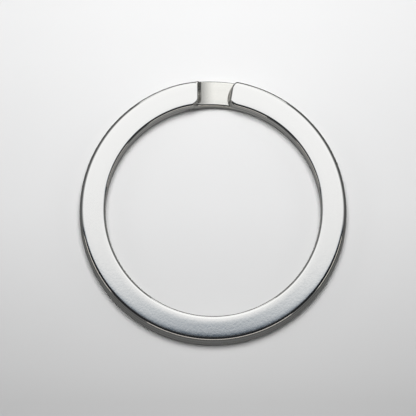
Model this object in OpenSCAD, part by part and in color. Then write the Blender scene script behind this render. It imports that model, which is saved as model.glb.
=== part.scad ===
// Flat key ring: one flat steel wire wound in two turns, one on the other. A joggle carries
// the wire from the upper turn down to the lower one, inside a short window in the upper turn.
// The ring lies flat on z = 0, centred on the Z axis, with the window on the +Y side.
// Angles are measured from +Y, anticlockwise seen from above.

/* [Wire] */
// Outside diameter of both turns
outer_d = 32; // [26:1:50]
// Width of the flat wire across its face
wire_w = 3.1; // [2.6:0.1:4]
// Thickness of one turn
wire_t = 1.4; // [1.3:0.1:2]
// Radius of the wire's rolled long edges
edge_r = 0.5; // [0.3:0.05:0.6]
// Running gap between the two turns
turn_gap = 0.05; // [0.04:0.01:0.1]

/* [Window] */
// Distance from the window's middle to the crest of the joggle
crest_x = 2; // [1.8:0.1:3]
// Radius of the joggle's crest
crest_r = 0.25; // [0.2:0.05:0.35]
// Steepest slope of the joggle, in degrees
fall_slope = 78; // [65:1:80]
// Radius of the joggle's foot
foot_r = 0.3; // [0.2:0.05:0.35]
// How far the wire's underside steps down behind its top, which keeps the joggle's neck thick
neck_x = 0.4; // [0.2:0.05:0.8]
// Length over which the wire eases on to the lower level
ease_l = 2.9; // [1.5:0.1:3.2]
// Slope at the start of the easing, in degrees
ease_slope = 20; // [8:1:22]
// Distance from the window's middle to the upper free end, along the middle of the wire
upper_end_x = 2.25; // [1.8:0.05:4]

/* [Free ends] */
// Length along the wire over which a cut end's corners are rounded
corner_l = 0.6; // [0.3:0.05:1]
// Rounding of a cut end's outside corner, across the wire
outer_corner_w = 1.1; // [0.3:0.05:1.2]
// Rounding of a cut end's inside corner, across the wire
inner_corner_w = 0.65; // [0.3:0.05:1]
// Rounding of a cut end's top and bottom edges
rim_r = 0.25; // [0.1:0.05:0.4]
// How far the upper end's lower inside corner reaches past a square cut
end_lean = 0.65; // [0:0.05:0.8]
// How far the lower free end stops short of the joggle's underside
end_gap = 0.2; // [0.1:0.05:0.8]

/* [Hidden] */

turn_fn = 180;
corner_steps = 6;
ease_steps = 8;
bend_steps = 36;
end_steps = 8;

outer_r = outer_d / 2;
inner_r = outer_r - wire_w;
mid_r = outer_r - wire_w / 2;
pitch = wire_t + turn_gap;

// A formed stretch is drawn in this much all round and starts this far inside the plain turn
seat = 0.01;
seat_l = 0.15;

// Down the joggle: a crest arc, a straight fall, a foot arc and a long easing arc
ease_r = ease_l / sin(ease_slope);
ease_drop = ease_r * (1 - cos(ease_slope));
foot_drop = foot_r * (cos(ease_slope) - cos(fall_slope));
crest_drop = crest_r * (1 - cos(fall_slope));
fall_drop = pitch - crest_drop - foot_drop - ease_drop;
fall_x = crest_x - crest_r * sin(fall_slope);
foot_x = fall_x - fall_drop / tan(fall_slope);
ease_x = foot_x - foot_r * (sin(fall_slope) - sin(ease_slope));
level_x = ease_x - ease_l;
top_x = crest_x + neck_x;

// The plain turns stop where the joggle has flattened out over their whole width
joggle_from = asin(level_x / inner_r);
joggle_to = asin(top_x / inner_r);
upper_end = 360 - degrees(upper_end_x);
lower_end = asin((top_x + end_gap) / inner_r);
end_l = corner_l + seat_l;

// Angle that a length along the middle of the wire takes up
function degrees(l) = l / mid_r * 180 / PI;

// Height of the wire above the lower turn's level, falling across the joggle towards x = 0
function rise(x) =
    x >= crest_x ? pitch
    : x >= fall_x ? pitch - crest_r + sqrt(crest_r ^ 2 - (crest_x - x) ^ 2)
    : x >= foot_x ? pitch - crest_drop - (fall_x - x) * tan(fall_slope)
    : x >= ease_x ? ease_drop + foot_r * cos(ease_slope)
        - sqrt(foot_r ^ 2 - (x - ease_x + foot_r * sin(ease_slope)) ^ 2)
    : x >= level_x ? ease_r - sqrt(ease_r ^ 2 - (x - level_x) ^ 2)
    : 0;

// How far an elliptical rounding draws a face in, at a distance from the end
function draw_in(length, width, from_end) =
    from_end >= length ? 0 : width * (1 - sqrt(1 - (1 - from_end / length) ^ 2));

// Outline of the wire as [radius, height] points, drawn in at its sides and its faces
function wire_outline(outer_in, inner_in, face_in) =
    let (r = edge_r * (1 - 2 * face_in / wire_t),
         half_t = wire_t / 2 - face_in - r)
    [for (corner = [0:3], k = [0:corner_steps])
        let (a = 90 * (corner + k / corner_steps))
        [(corner == 0 || corner == 3 ? outer_r - outer_in - r : inner_r + inner_in + r) + r * cos(a),
         wire_t / 2 + (corner < 2 ? half_t : -half_t) + r * sin(a)]];

// Place of a section point on the ring
function spot(r, a, z) = [-r * sin(a), r * cos(a), z];

// Solid skin over rings of points, each with as many points as the last
module skin(rings) {
    n = len(rings[0]);
    last = len(rings) - 1;
    sides = [for (i = [0:last - 1], j = [0:n - 1])
        let (a = i * n + j, b = i * n + (j + 1) % n)
        each [[a, b, a + n], [b, b + n, a + n]]];
    caps = [[for (j = [n - 1:-1:0]) j], [for (j = [0:n - 1]) last * n + j]];
    polyhedron([for (ring = rings) each ring], concat(sides, caps));
}

module wire_face()
    translate([mid_r, wire_t / 2]) {
        square([wire_w - 2 * edge_r, wire_t], center = true);
        square([wire_w, wire_t - 2 * edge_r], center = true);
        for (x = [-1, 1], z = [-1, 1])
            translate([x * (wire_w / 2 - edge_r), z * (wire_t / 2 - edge_r)])
                circle(edge_r, $fn = 4 * corner_steps);
    }

module turn(from, to, z)
    translate([0, 0, z]) rotate([0, 0, 90 + from])
        rotate_extrude(angle = to - from, $fn = turn_fn) wire_face();

module joggle() {
    stations = [
        outer_r * sin(joggle_from) - seat_l,
        for (k = [0:ease_steps - 1]) level_x + ease_l * k / ease_steps,
        for (k = [0:bend_steps]) ease_x + (top_x - ease_x) * k / bend_steps,
        outer_r * sin(joggle_to) + seat_l
    ];
    skin([for (x = stations)
        [for (p = wire_outline(seat, seat, seat))
            spot(p.x, asin(x / p.x), p.y + rise(x - neck_x * (1 - p.y / wire_t)))]]);
}

// Rounded end of the wire at an angle; way is 1 where the wire runs up to it, -1 where it starts
module free_end(angle, way, z, lean) {
    stations = [end_l + seat_l, for (k = [0:end_steps]) corner_l * (1 - sin(90 * k / end_steps))];
    rings = [for (s = stations)
        [for (p = wire_outline(seat + draw_in(corner_l, outer_corner_w, s),
                               seat + draw_in(corner_l, inner_corner_w, s),
                               seat + draw_in(rim_r, rim_r, s)))
            let (past = lean * (1 - s / stations[0]) * (outer_r - p.x) / wire_w * (1 - p.y / wire_t))
            spot(p.x, angle + way * degrees(past - s), p.y + z)]];
    skin(way > 0 ? rings : [for (i = [len(rings) - 1:-1:0]) rings[i]]);
}

module split_ring()
    color("silver") {
        turn(joggle_to, upper_end - degrees(end_l), pitch);
        turn(lower_end + degrees(end_l), 360 + joggle_from, 0);
        joggle();
        free_end(upper_end, 1, pitch, end_lean);
        free_end(lower_end, -1, 0, 0);
    }

split_ring();
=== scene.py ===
"""Looks of the flat key ring: the wound wire with its joggle and free ends, in plated steel."""
import math

import bpy
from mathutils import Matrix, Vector


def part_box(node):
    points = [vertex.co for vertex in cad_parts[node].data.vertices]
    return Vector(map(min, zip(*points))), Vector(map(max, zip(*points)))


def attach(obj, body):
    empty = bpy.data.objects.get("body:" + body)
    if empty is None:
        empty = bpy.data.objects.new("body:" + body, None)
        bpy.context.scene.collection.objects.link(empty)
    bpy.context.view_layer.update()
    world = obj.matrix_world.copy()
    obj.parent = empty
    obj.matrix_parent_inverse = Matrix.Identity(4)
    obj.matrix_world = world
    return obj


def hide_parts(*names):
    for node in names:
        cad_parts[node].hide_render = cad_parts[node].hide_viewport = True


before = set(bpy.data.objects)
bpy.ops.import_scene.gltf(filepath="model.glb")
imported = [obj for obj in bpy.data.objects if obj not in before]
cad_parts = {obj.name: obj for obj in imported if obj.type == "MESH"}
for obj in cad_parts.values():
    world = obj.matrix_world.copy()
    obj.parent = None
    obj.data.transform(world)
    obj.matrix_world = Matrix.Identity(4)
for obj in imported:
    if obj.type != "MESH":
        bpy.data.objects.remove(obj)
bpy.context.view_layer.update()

# Lengths are in millimetres, and are turned into metres where a mesh, lamp or camera is made.
MM = 0.001
NODE = "split_ring"
TURN = 2 * math.pi
low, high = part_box(NODE)

# The wire. Its outside and its height come from the frame.
OUTER_R = (high.x - low.x) / 2 / MM
HEIGHT = (high.z - low.z) / MM
WIRE_W = 3.1
TURN_GAP = 0.05
WIRE_T = (HEIGHT - TURN_GAP) / 2
PITCH = WIRE_T + TURN_GAP
TURN_SHIFT = 0.05  # how much further in the upper turn lies
INNER_R = OUTER_R - WIRE_W
MID_R = OUTER_R - WIRE_W / 2

# The rounded edges, which are tighter on the strip in the window, and the crowned faces
EDGE_R = 0.5
INNER_EDGE_R = 0.4
STRIP_EDGE_R = 0.25
STRIP_INNER_EDGE_R = 0.3
CROWN = 0.008
CROWN_POWER = 5

# The joggle: a tight crest, a steep fall, a foot and a long easing on to the lower level.
# Each X is a distance across from the middle of the window.
CREST_X = 2.0
CREST_R = 0.25
CREST_CORNER_R = 0.45
CREST_DRAW = 0.07  # how far in the crest is drawn
FALL_SLOPE = math.radians(78)
FOOT_R = 0.4
EASE_SLOPE = math.radians(20)
EASE_L = 2.9
NECK_X = 0.4  # how far the step in the underside lies from the step in the top

# The free ends. Each L is measured along the wire and each W across it.
UPPER_END_X = 2.17
OUTER_CORNER_L = 0.6
OUTER_CORNER_W = 1.1
TOP_CORNER_L = 1.2
UNDER_CORNER_L = 0.55
INNER_CORNER_W = 0.65
RIM_R = 0.25
END_L = TOP_CORNER_L
END_GAP = 0.2  # between the lower end and the step in the underside
END_SPRING = 0.04  # how far out the upper end stands
SPRING_L = 3.0

# The lean of the upper end's cut, whose lower rim reaches past the upper one, most at LEAN_AT
END_LEAN = 0.43
LEAN_L = 0.6
LEAN_AT = -0.5
LEAN_IN = 1.1
LEAN_OUT = 1.9

EASE_R = EASE_L / math.sin(EASE_SLOPE)
EASE_DROP = EASE_R * (1 - math.cos(EASE_SLOPE))
FOOT_L = FOOT_R * (math.sin(FALL_SLOPE) - math.sin(EASE_SLOPE))
FOOT_DROP = FOOT_R * (math.cos(EASE_SLOPE) - math.cos(FALL_SLOPE))
CREST_L = CREST_R * math.sin(FALL_SLOPE)
CREST_DROP = CREST_R * (1 - math.cos(FALL_SLOPE))
FALL_DROP = PITCH - CREST_DROP - FOOT_DROP - EASE_DROP
FALL_L = FALL_DROP / math.tan(FALL_SLOPE)
FOOT_X = CREST_X - CREST_L - FALL_L
EASE_X = FOOT_X - FOOT_L
STRIP_X = EASE_X - EASE_L

# Angles along the wire. The window and the joggle lie on both sides of one whole turn.
LOWER_END = math.asin((CREST_X + NECK_X + END_GAP) / INNER_R)
UPPER_END = 2 * TURN - UPPER_END_X / MID_R
UPPER_HALF = 1.5 * TURN
JOGGLE_REACH = 1.0

# How finely the wire is divided, and how far past the joggle the finer steps go on
TURN_STEP = math.radians(1.0)
EASED_STEP = TURN_STEP / 3
FORMED_STEP = math.radians(0.1)
FORMED_BEFORE = 0.6
FORMED_AFTER = 0.9
EASED_AFTER = 2
END_STEPS = 20
ARC_STEPS = 12
FACE_STEPS = 16

# Where the finishes painted on the wire begin, and over what length they change; the window's mark also
# carries painted shade
WINDOW_MARGIN = 0.5
WINDOW_FADE = 0.4
SIDE_DEPTH = 0.07
SIDE_FADE = 0.05
ROLLED_FADE = 0.1
CUT_L = 0.15


def ramp(value, start, length):
    """0 up to the start, growing to 1 over the length."""
    return max(0.0, min(1.0, (value - start) / length))


def rise(x):
    """Height of the wire above the lower turn, where it falls across the joggle towards x = 0."""
    if x >= CREST_X:
        return PITCH
    if x >= CREST_X - CREST_L:
        return PITCH - CREST_R + math.sqrt(CREST_R ** 2 - (CREST_X - x) ** 2)
    if x >= FOOT_X:
        return PITCH - CREST_DROP - (CREST_X - CREST_L - x) * math.tan(FALL_SLOPE)
    if x >= EASE_X:
        along = x - EASE_X + FOOT_R * math.sin(EASE_SLOPE)
        return EASE_DROP + FOOT_R * math.cos(EASE_SLOPE) - math.sqrt(FOOT_R ** 2 - along ** 2)
    if x >= STRIP_X:
        return EASE_R - math.sqrt(EASE_R ** 2 - (x - STRIP_X) ** 2)
    return 0.0


def rounded_rise(x, corner):
    """The rise with its crest set back by a corner, but no lower than the easing's slope carried on."""
    level = rise(x)
    if x > EASE_X:
        slope = EASE_DROP + (x - EASE_X) * math.tan(EASE_SLOPE)
        level = max(min(level, slope), rise(x - corner))
    return level


def draw_in(length, width, from_end):
    """How far an elliptical rounding draws a face in at a distance from the end."""
    gone = 1 - min(max(from_end / length, 0.0), 1.0)
    return width * (1 - math.sqrt(1 - gone ** 2))


def quarter(out, top, r):
    """An arc from the side to the face, with its square corner at (out, top)."""
    turns = (math.pi / 2 * k / ARC_STEPS for k in range(ARC_STEPS + 1))
    return [(out - r + r * math.cos(a), top - r + r * math.sin(a)) for a in turns]


def wire_outline(outer_r, inner_r, outer_in=0.0, inner_in=0.0, face_in=0.0):
    """Closed outline of the wire about its own middle, drawn in at its sides and faces."""
    shrink = 1 - 2 * face_in / WIRE_T
    out_r, in_r = outer_r * shrink, inner_r * shrink
    out = WIRE_W / 2 - outer_in
    inn = WIRE_W / 2 - inner_in
    top = WIRE_T / 2 - face_in
    right = quarter(out, top, out_r)
    left = [(-x, z) for x, z in reversed(quarter(inn, top, in_r))]
    face = []
    for k in range(1, FACE_STEPS):
        share = (1 - math.cos(math.pi * k / FACE_STEPS)) / 2
        face.append((out - out_r - (out + inn - out_r - in_r) * share, top))
    upper = right + face + left
    half = WIRE_W / 2 - INNER_EDGE_R
    upper = [(x, z - CROWN * min(abs(x) / half, 1) ** CROWN_POWER) for x, z in upper]
    return upper + [(x, -z) for x, z in reversed(upper)]


def station_step(angle):
    """The step to take along the wire from an angle, short where the wire is formed."""
    if abs(angle - TURN) >= JOGGLE_REACH:
        return TURN_STEP
    x = OUTER_R * math.sin(angle - TURN)
    if EASE_X - FORMED_BEFORE < x < CREST_X + NECK_X + FORMED_AFTER:
        return FORMED_STEP
    if STRIP_X < x < CREST_X + EASED_AFTER:
        return EASED_STEP
    return TURN_STEP


def wire_stations():
    """(angle, distance to the nearer free end) along the wire."""
    ends = [END_L * (1 - math.cos(math.pi / 2 * k / END_STEPS)) for k in range(END_STEPS + 1)]
    stations = [(LOWER_END + s / MID_R, s) for s in ends]
    angle = stations[-1][0]
    last = UPPER_END - END_L / MID_R
    while angle < last - TURN_STEP:
        angle += station_step(angle)
        if angle < last - FORMED_STEP:
            stations.append((angle, END_L))
    return stations + [(UPPER_END - s / MID_R, s) for s in reversed(ends)]


def in_window(angle):
    """1 where the wire lies open in the window, fading to 0 under the upper turn."""
    a = angle - TURN
    start = -(UPPER_END_X + WINDOW_MARGIN) / MID_R
    end = CREST_X / MID_R
    fade = WINDOW_FADE / MID_R
    return max(0.0, min(1.0, (a - start) / fade, (end - a) / fade))


def outline_at(angle, from_end):
    """The outline at one station. The inner corner of an end is longer on the top than below."""
    open_share = in_window(angle)
    outer_r = EDGE_R + (STRIP_EDGE_R - EDGE_R) * open_share
    inner_r = INNER_EDGE_R + (STRIP_INNER_EDGE_R - INNER_EDGE_R) * open_share
    outer_in = draw_in(OUTER_CORNER_L, OUTER_CORNER_W, from_end)
    top_in = draw_in(TOP_CORNER_L, INNER_CORNER_W, from_end)
    under_in = draw_in(UNDER_CORNER_L, INNER_CORNER_W, from_end)
    face_in = draw_in(RIM_R, RIM_R, from_end)
    top = wire_outline(outer_r, inner_r, outer_in, top_in, face_in)
    under = wire_outline(outer_r, inner_r, outer_in, under_in, face_in)
    return [t if t[1] > 0 else u for t, u in zip(top, under)]


def lean_share(x):
    """How much of the end's lean is left at a distance from the wire's middle."""
    reach = LEAN_IN if x < LEAN_AT else LEAN_OUT
    return math.cos(math.pi / 2 * min(abs(x - LEAN_AT) / reach, 1.0))


def past_cut(x, z, from_end):
    """How far the lean carries a point of the upper end past a square cut."""
    near = max(0.0, 1 - from_end / LEAN_L)
    return END_LEAN * near * lean_share(x) * (0.5 - z / WIRE_T)


def level_and_shift(angle, r, x, z):
    """How far a point is raised from the lower turn, and how far in it is moved."""
    if angle < TURN - JOGGLE_REACH:
        return 0.0, 0.0
    if angle > TURN + JOGGLE_REACH:
        return PITCH, TURN_SHIFT * PITCH / PITCH
    corner = draw_in(CREST_CORNER_R, CREST_CORNER_R, x + WIRE_W / 2 - INNER_EDGE_R)
    neck = NECK_X * (0.5 - z / WIRE_T)
    across = r * math.sin(angle - TURN) - neck
    level = rounded_rise(across, corner)
    drawn = CREST_DRAW * (1 - ramp(across, CREST_X, SPRING_L)) ** 2
    return level, (TURN_SHIFT + drawn) * level / PITCH


def wire_ring_points(angle, from_end):
    """The wire's points at one station."""
    spring = END_SPRING * max(0.0, 1 - (UPPER_END - angle) * MID_R / SPRING_L) ** 2
    points = []
    for x, z in outline_at(angle, from_end):
        r = MID_R + x + spring
        a = angle
        if angle > UPPER_HALF:
            a += past_cut(x, z, from_end) / MID_R
        level, shift = level_and_shift(a, r, x, z)
        r -= shift
        points.append((-r * math.sin(a), r * math.cos(a), WIRE_T / 2 + z + level))
    return points


def skin(rings):
    """Points and faces over rings of points, closed at both ends."""
    n = len(rings[0])
    last = (len(rings) - 1) * n
    faces = []
    for start in range(0, last, n):
        for j in range(n):
            k = (j + 1) % n
            faces.append((start + j, start + k, start + n + k, start + n + j))
    faces.append(tuple(range(n - 1, -1, -1)))
    faces.append(tuple(range(last, last + n)))
    return [point for ring in rings for point in ring], faces


def new_object(name, points, faces):
    """An object in the scene, from points in millimetres."""
    mesh = bpy.data.meshes.new(name)
    mesh.from_pydata([tuple(c * MM for c in point) for point in points], [], faces)
    obj = bpy.data.objects.new(name, mesh)
    bpy.context.scene.collection.objects.link(obj)
    return obj


def paint(mesh, name, values):
    """Paint a value on every point of a mesh under a name, for its material."""
    layer = mesh.attributes.new(name, "FLOAT", "POINT")
    layer.data.foreach_set("value", values)


def make_wire():
    stations = wire_stations()
    obj = new_object("wound_wire", *skin([wire_ring_points(a, s) for a, s in stations]))
    mesh = obj.data
    mesh.validate()
    mesh.polygons.foreach_set("use_smooth", [True] * len(mesh.polygons))
    from_middle = [abs(x) for x, z in wire_outline(EDGE_R, INNER_EDGE_R)]
    steep = [ramp(x, WIRE_W / 2 - SIDE_DEPTH, SIDE_FADE) for x in from_middle]
    bent = [ramp(x, WIRE_W / 2 - EDGE_R, ROLLED_FADE) for x in from_middle]
    paint(mesh, "side", steep * len(stations))
    # The window mark also darkens the wire's colour there: partly painted shade of the recess between
    # the ends
    paint(mesh, "window", [in_window(a) for a, s in stations for x in from_middle])
    paint(mesh, "rolled", bent * len(stations))
    paint(mesh, "cut", [max(0.0, 1 - s / CUT_L) for a, s in stations for x in from_middle])
    return obj


# The plate, polished on its faces and duller on its sides, in the window and on its cut ends. In the
# window its colour is also darker and warmer: partly the strip's own warmer tone, partly painted shade
# of the recess between the two ends.
PLATE_COLOR = (0.79, 0.79, 0.782)
WINDOW_TONE_AND_SHADE = (0.775, 0.77, 0.735)
CUT_COLOR = (0.58, 0.57, 0.54)
POLISHED = 0.08
SIDE_ROUGH = 0.14
WINDOW_ROUGH = 0.14
CUT_ROUGH = 0.45
GRAIN_SIZE = 0.25
GRAIN_DEPTH = 0.0014
GRAIN_DETAIL = 2.0
GRAIN_RANGE = (0.35, 0.65)
GRAIN_ROUGH = 0.2
ROLLED_GRAIN = 0.05  # how much of the grain's relief is left on the rolled edges

# The sockets of a mix node that work on colours
MIX_SHARE = 0
MIX_FIRST = 6
MIX_SECOND = 7
MIX_RESULT = 2


def new_material(name):
    mat = bpy.data.materials.new(name)
    mat.use_nodes = True
    return mat, mat.node_tree.nodes, mat.node_tree.links


def painted(nodes, name):
    """The value painted on the wire under a name."""
    node = nodes.new("ShaderNodeAttribute")
    node.attribute_name = name
    return node.outputs["Fac"]


def remapped(nodes, links, value, to_min, to_max, from_min=0.0, from_max=1.0):
    """A value moved from one range to another."""
    node = nodes.new("ShaderNodeMapRange")
    node.inputs["From Min"].default_value = from_min
    node.inputs["From Max"].default_value = from_max
    node.inputs["To Min"].default_value = to_min
    node.inputs["To Max"].default_value = to_max
    links.new(value, node.inputs["Value"])
    return node.outputs["Result"]


def combined(nodes, links, operation, first, second):
    """Two values worked together."""
    node = nodes.new("ShaderNodeMath")
    node.operation = operation
    links.new(first, node.inputs[0])
    links.new(second, node.inputs[1])
    return node.outputs[0]


def plate_color(nodes, links, window, cut):
    """The plate's colour, turning to the window's, which is partly painted shade, and then to the cut's.
    """
    plate = nodes.new("ShaderNodeMix")
    plate.data_type = "RGBA"
    plate.inputs[MIX_FIRST].default_value = (*PLATE_COLOR, 1)
    plate.inputs[MIX_SECOND].default_value = (*WINDOW_TONE_AND_SHADE, 1)
    links.new(window, plate.inputs[MIX_SHARE])
    color = nodes.new("ShaderNodeMix")
    color.data_type = "RGBA"
    color.inputs[MIX_SECOND].default_value = (*CUT_COLOR, 1)
    links.new(cut, color.inputs[MIX_SHARE])
    links.new(plate.outputs[MIX_RESULT], color.inputs[MIX_FIRST])
    return color.outputs[MIX_RESULT]


def fine_grain(nodes, links):
    place = nodes.new("ShaderNodeTexCoord")
    grain = nodes.new("ShaderNodeTexNoise")
    grain.inputs["Scale"].default_value = 1 / (GRAIN_SIZE * MM)
    grain.inputs["Detail"].default_value = GRAIN_DETAIL
    links.new(place.outputs["Object"], grain.inputs["Vector"])
    return grain.outputs["Fac"]


def grain_relief(nodes, links, grain, rolled):
    """The grain as a fine relief, nearly gone on the rolled edges."""
    bump = nodes.new("ShaderNodeBump")
    bump.inputs["Distance"].default_value = GRAIN_DEPTH * MM
    links.new(grain, bump.inputs["Height"])
    links.new(remapped(nodes, links, rolled, 1.0, ROLLED_GRAIN), bump.inputs["Strength"])
    return bump.outputs["Normal"]


def nickel():
    mat, nodes, links = new_material("nickel_plate")
    shader = nodes["Principled BSDF"]
    shader.inputs["Metallic"].default_value = 1.0
    side, window, cut, rolled = (painted(nodes, name) for name in ("side", "window", "cut", "rolled"))
    # The colour is darker and warmer in the window: partly painted shade
    links.new(plate_color(nodes, links, window, cut), shader.inputs["Base Color"])
    rough = remapped(nodes, links, side, POLISHED, SIDE_ROUGH)
    for place, roughness in ((window, WINDOW_ROUGH), (cut, CUT_ROUGH)):
        there = remapped(nodes, links, place, 0.0, roughness)
        rough = combined(nodes, links, "MAXIMUM", rough, there)
    grain = fine_grain(nodes, links)
    uneven = remapped(nodes, links, grain, 1 - GRAIN_ROUGH, 1 + GRAIN_ROUGH, *GRAIN_RANGE)
    links.new(combined(nodes, links, "MULTIPLY", rough, uneven), shader.inputs["Roughness"])
    links.new(grain_relief(nodes, links, grain, rolled), shader.inputs["Normal"])
    return mat


def fade_by(nodes, links, value, stops):
    """A colour ramp over a distance in metres, given as (millimetres, colour) stops."""
    start, end = stops[0][0], stops[-1][0]
    fade = nodes.new("ShaderNodeValToRGB")
    elements = fade.color_ramp.elements
    # New stops start halfway, and are then all put in their places.
    while len(elements) < len(stops):
        elements.new(0.5)
    for element, (at, rgb) in zip(elements, stops):
        element.position = (at - start) / (end - start)
    for element, (at, rgb) in zip(elements, stops):
        element.color = (*rgb, 1)
    links.new(remapped(nodes, links, value, 0.0, 1.0, start * MM, end * MM), fade.inputs["Fac"])
    return fade.outputs["Color"]


def faded(nodes, links, along_y=None, across_x=None, from_center=None):
    """A colour that fades over a flat card by its place in the scene."""
    place = nodes.new("ShaderNodeTexCoord")
    axes = nodes.new("ShaderNodeSeparateXYZ")
    links.new(place.outputs["Object"], axes.inputs[0])
    fades = []
    if along_y:
        fades.append(fade_by(nodes, links, axes.outputs["Y"], along_y))
    if across_x:
        width = nodes.new("ShaderNodeMath")
        width.operation = "ABSOLUTE"
        links.new(axes.outputs["X"], width.inputs[0])
        fades.append(fade_by(nodes, links, width.outputs[0], across_x))
    if from_center:
        length = nodes.new("ShaderNodeVectorMath")
        length.operation = "LENGTH"
        links.new(place.outputs["Object"], length.inputs[0])
        fades.append(fade_by(nodes, links, length.outputs["Value"], from_center))
    if len(fades) == 1:
        return fades[0]
    both = nodes.new("ShaderNodeMix")
    both.data_type = "RGBA"
    both.blend_type = "MULTIPLY"
    both.inputs[MIX_SHARE].default_value = 1.0
    links.new(fades[0], both.inputs[MIX_FIRST])
    links.new(fades[1], both.inputs[MIX_SECOND])
    return both.outputs[MIX_RESULT]


def glow_material(name, color, strength=1.0, **fades):
    """Emission, evenly coloured or faded."""
    mat, nodes, links = new_material(name)
    nodes.clear()
    glow = nodes.new("ShaderNodeEmission")
    glow.inputs["Color"].default_value = (*color, 1)
    glow.inputs["Strength"].default_value = strength
    out = nodes.new("ShaderNodeOutputMaterial")
    links.new(glow.outputs[0], out.inputs["Surface"])
    if fades:
        links.new(faded(nodes, links, **fades), glow.inputs["Color"])
    return mat


def card(name, points, faces, mat):
    """A glowing card that only the metal sees."""
    obj = new_object(name, points, faces)
    obj.data.materials.append(mat)
    obj.visible_camera = False
    obj.visible_diffuse = False
    obj.visible_shadow = False


def rectangle(x0, x1, y0, y1, z):
    return [(x0, y0, z), (x1, y0, z), (x1, y1, z), (x0, y1, z)], [(0, 1, 2, 3)]


def wall(radius, azimuths, elevations, steps):
    """Part of an upright cylinder about the object. Azimuth 0 is the front, anticlockwise from above."""
    start, end = azimuths
    points, faces = [], []
    for k in range(steps + 1):
        a = math.radians(start + (end - start) * k / steps)
        for elevation in elevations:
            z = radius * math.tan(math.radians(elevation))
            points.append((radius * math.sin(a), -radius * math.cos(a), z))
    for k in range(steps):
        faces.append((2 * k, 2 * k + 2, 2 * k + 3, 2 * k + 1))
    return points, faces


def grey(level):
    return (level, level, level)


# The floor's colour, with a pool of light painted in: painted falloff, darker from back to front and
# from the middle to both sides
FLOOR_REACH = 2000
FLOOR_ROUGH = 0.9
FLOOR_SPECULAR = 0.1
FLOOR_PAINTED_FALLOFF = ((-60, grey(0.4)), (-23, grey(0.51)), (-19, grey(0.56)), (-9, grey(0.655)), (1, grey(0.75)),
              (10, grey(0.8)), (19, grey(0.855)), (25, grey(0.88)), (60, grey(0.9)))
FLOOR_SIDES_PAINTED_FALLOFF = ((0, grey(1.0)), (12, grey(0.98)), (24, grey(0.94)), (60, grey(0.85)))


def make_floor():
    """A floor with a painted pool of light, its colour darker to the front and to both sides. The metal
    sees the card floor_in_metal in its place.
    """
    flat = rectangle(-FLOOR_REACH, FLOOR_REACH, -FLOOR_REACH, FLOOR_REACH, 0)
    obj = new_object("floor", *flat)
    mat, nodes, links = new_material("floor")
    shader = nodes["Principled BSDF"]
    # Painted light: the lamp's falloff is painted into the floor's colour, darker to the front and to
    # both sides
    color = faded(nodes, links, along_y=FLOOR_PAINTED_FALLOFF, across_x=FLOOR_SIDES_PAINTED_FALLOFF)
    links.new(color, shader.inputs["Base Color"])
    shader.inputs["Roughness"].default_value = FLOOR_ROUGH
    shader.inputs["Specular IOR Level"].default_value = FLOOR_SPECULAR
    obj.data.materials.append(mat)
    obj.visible_glossy = False


# The lamps
KEY_AT = (0, 64, 480)
KEY_SIZE = 192
KEY_POWER = 2.3
FILL_X = 330
FILL_Z = 260
FILL_SIZE = 200
FILL_POWER = 0.14

# The card overhead, which fades out to the front and to both sides
WHITE = (1, 1, 1)
OVERHEAD_Z = 300
OVERHEAD_REACH = 700
OVERHEAD_FADE = ((20, (0.0, 0.0, 0.0)), (30, (0.12, 0.15, 0.19)), (37, (0.45, 0.49, 0.53)),
                 (41, (0.72, 0.75, 0.78)), (47, grey(0.95)), (58, grey(1.04)), (75, grey(1.13)),
                 (110, (1.2, 1.2, 1.19)))
OVERHEAD_SIDES = ((0, WHITE), (110, WHITE), (235, grey(0.45)), (400, grey(0.2)), (600, grey(0.06)))

# The floor as the metal sees it, by the distance from the ring's middle: a painted reflection of the
# floor, darker than the floor itself, with painted contact shadow where it dips under and next to the
# ring (12.8 to 17.2 mm) and painted falloff far out
FLOOR_CARD_REACH = 900
FLOOR_CARD_Z = -0.5
FLOOR_IN_METAL = ((0, (0.3, 0.3, 0.29)), (11.5, (0.28, 0.28, 0.27)), (12.8, grey(0.08)), (16, grey(0.1)),
                  (17.2, (0.15, 0.15, 0.145)), (21, (0.13, 0.13, 0.125)), (30, (0.12, 0.12, 0.115)),
                  (60, grey(0.03)), (300, grey(0.02)))

# The walls, with their azimuths and elevations in degrees: one behind the ring, bands that give
# the pale lines along its edges, and dim low ones
WALL_STEPS = 24
BACK_R = 700
BACK_AZIMUTHS = (152, 208)
BACK_ELEVATIONS = (0.5, 60)
BACK_STRENGTH = 1.1
BAND_R = 400
BAND = (22, 36)
BAND_COLOR = (0.62, 0.58, 0.53)
BANDS = (("front", -36, 44, 1.35), ("right", 62, 90, 1.35), ("left", -90, -60, 1.35),
         ("gap_left", -60, -36, 0.2), ("gap_right", 44, 62, 0.2))
LOW_R = 420
LOW_STEPS = 60
LOW_WALL = (1, 21)
LOW_COLOR = (0.9, 0.92, 0.95)
LOW_WALLS = (("front", -152, 62, 0.17), ("right", 62, 152, 0.11))

# A dim card straight above the ring, in front of the card overhead
TOP_PLACE = (-60, 60, -16, 14, 320)
TOP_STRENGTH = 0.12


def lamp(name, at, size, power):
    """A round soft light that shines at the object and isn't seen in the metal."""
    light = bpy.data.lights.new(name, "AREA")
    light.shape = "DISK"
    light.size = size * MM
    light.energy = power
    obj = bpy.data.objects.new(name, light)
    obj.location = Vector(at) * MM
    obj.rotation_euler = obj.location.to_track_quat("Z", "Y").to_euler()
    bpy.context.scene.collection.objects.link(obj)
    obj.visible_glossy = False
    obj.visible_camera = False


def make_lamps():
    lamp("key", KEY_AT, KEY_SIZE, KEY_POWER)
    for side in (-1, 1):
        lamp("fill", (side * FILL_X, 0, FILL_Z), FILL_SIZE, FILL_POWER)


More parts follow.
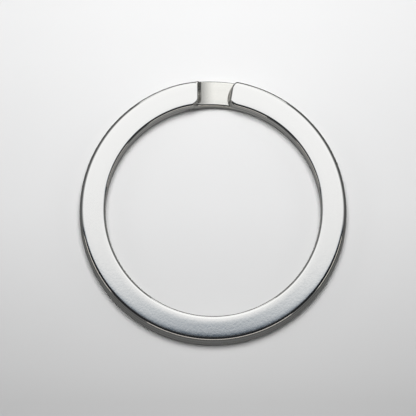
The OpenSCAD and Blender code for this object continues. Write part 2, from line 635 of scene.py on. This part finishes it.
def make_cards():
    front, reach = OVERHEAD_FADE[0][0], OVERHEAD_REACH
    overhead = glow_material("overhead", WHITE, along_y=OVERHEAD_FADE, across_x=OVERHEAD_SIDES)
    card("overhead", *rectangle(-reach, reach, front, reach, OVERHEAD_Z), overhead)
    # A glowing card in the floor's place for the metal: painted reflection of the floor, with painted
    # contact shadow next to the ring
    reach = FLOOR_CARD_REACH
    below = glow_material("floor_in_metal", WHITE, from_center=FLOOR_IN_METAL)
    card("floor_in_metal", *rectangle(-reach, reach, -reach, reach, FLOOR_CARD_Z), below)
    back = glow_material("back", WHITE, BACK_STRENGTH)
    card("back", *wall(BACK_R, BACK_AZIMUTHS, BACK_ELEVATIONS, WALL_STEPS), back)
    for name, start, end, strength in BANDS:
        band = glow_material("band_" + name, BAND_COLOR, strength)
        card("band_" + name, *wall(BAND_R, (start, end), BAND, WALL_STEPS), band)
    for name, start, end, strength in LOW_WALLS:
        dim = glow_material("low_" + name, LOW_COLOR, strength)
        card("low_" + name, *wall(LOW_R, (start, end), LOW_WALL, LOW_STEPS), dim)
    card("top", *rectangle(*TOP_PLACE), glow_material("top", WHITE, TOP_STRENGTH))


# The camera. CENTER_AT is the pixel where the point CENTER_Z above the ring's middle falls.
IMAGE_SIZE = 416
SENSOR = 36
CLIP_START = 0.01  # in metres
CAMERA_ELEVATION = math.radians(79.0)
CAMERA_DISTANCE = 720.0
MM_PER_PIXEL = 0.11965
CENTER_AT = (213.1, 210.75)
CENTER_Z = 2.15


def make_camera():
    cam = bpy.data.cameras.new("camera")
    obj = bpy.data.objects.new("camera", cam)
    bpy.context.scene.collection.objects.link(obj)
    cam.sensor_width = SENSOR
    cam.lens = SENSOR * CAMERA_DISTANCE / (IMAGE_SIZE * MM_PER_PIXEL)
    cam.clip_start = CLIP_START
    middle = IMAGE_SIZE / 2
    right = (middle - CENTER_AT[0]) * MM_PER_PIXEL
    back = (CENTER_AT[1] - middle) * MM_PER_PIXEL / math.sin(CAMERA_ELEVATION)
    aim = Vector((right, back, CENTER_Z)) * MM
    away = Vector((0, -math.cos(CAMERA_ELEVATION), math.sin(CAMERA_ELEVATION)))
    obj.location = aim + away * CAMERA_DISTANCE * MM
    obj.rotation_euler = (math.pi / 2 - CAMERA_ELEVATION, 0, 0)
    bpy.context.scene.camera = obj


WORLD_COLOR = (0.02, 0.022, 0.025)


def make_world():
    world = bpy.data.worlds.new("studio")
    bpy.context.scene.world = world
    world.use_nodes = True
    world.node_tree.nodes["Background"].inputs["Color"].default_value = (*WORLD_COLOR, 1)
    bpy.context.scene.view_settings.view_transform = "Standard"


wire = make_wire()
wire.data.materials.append(nickel())
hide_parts(NODE)
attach(wire, "root")

make_floor()
make_world()
make_lamps()
make_cards()
make_camera()
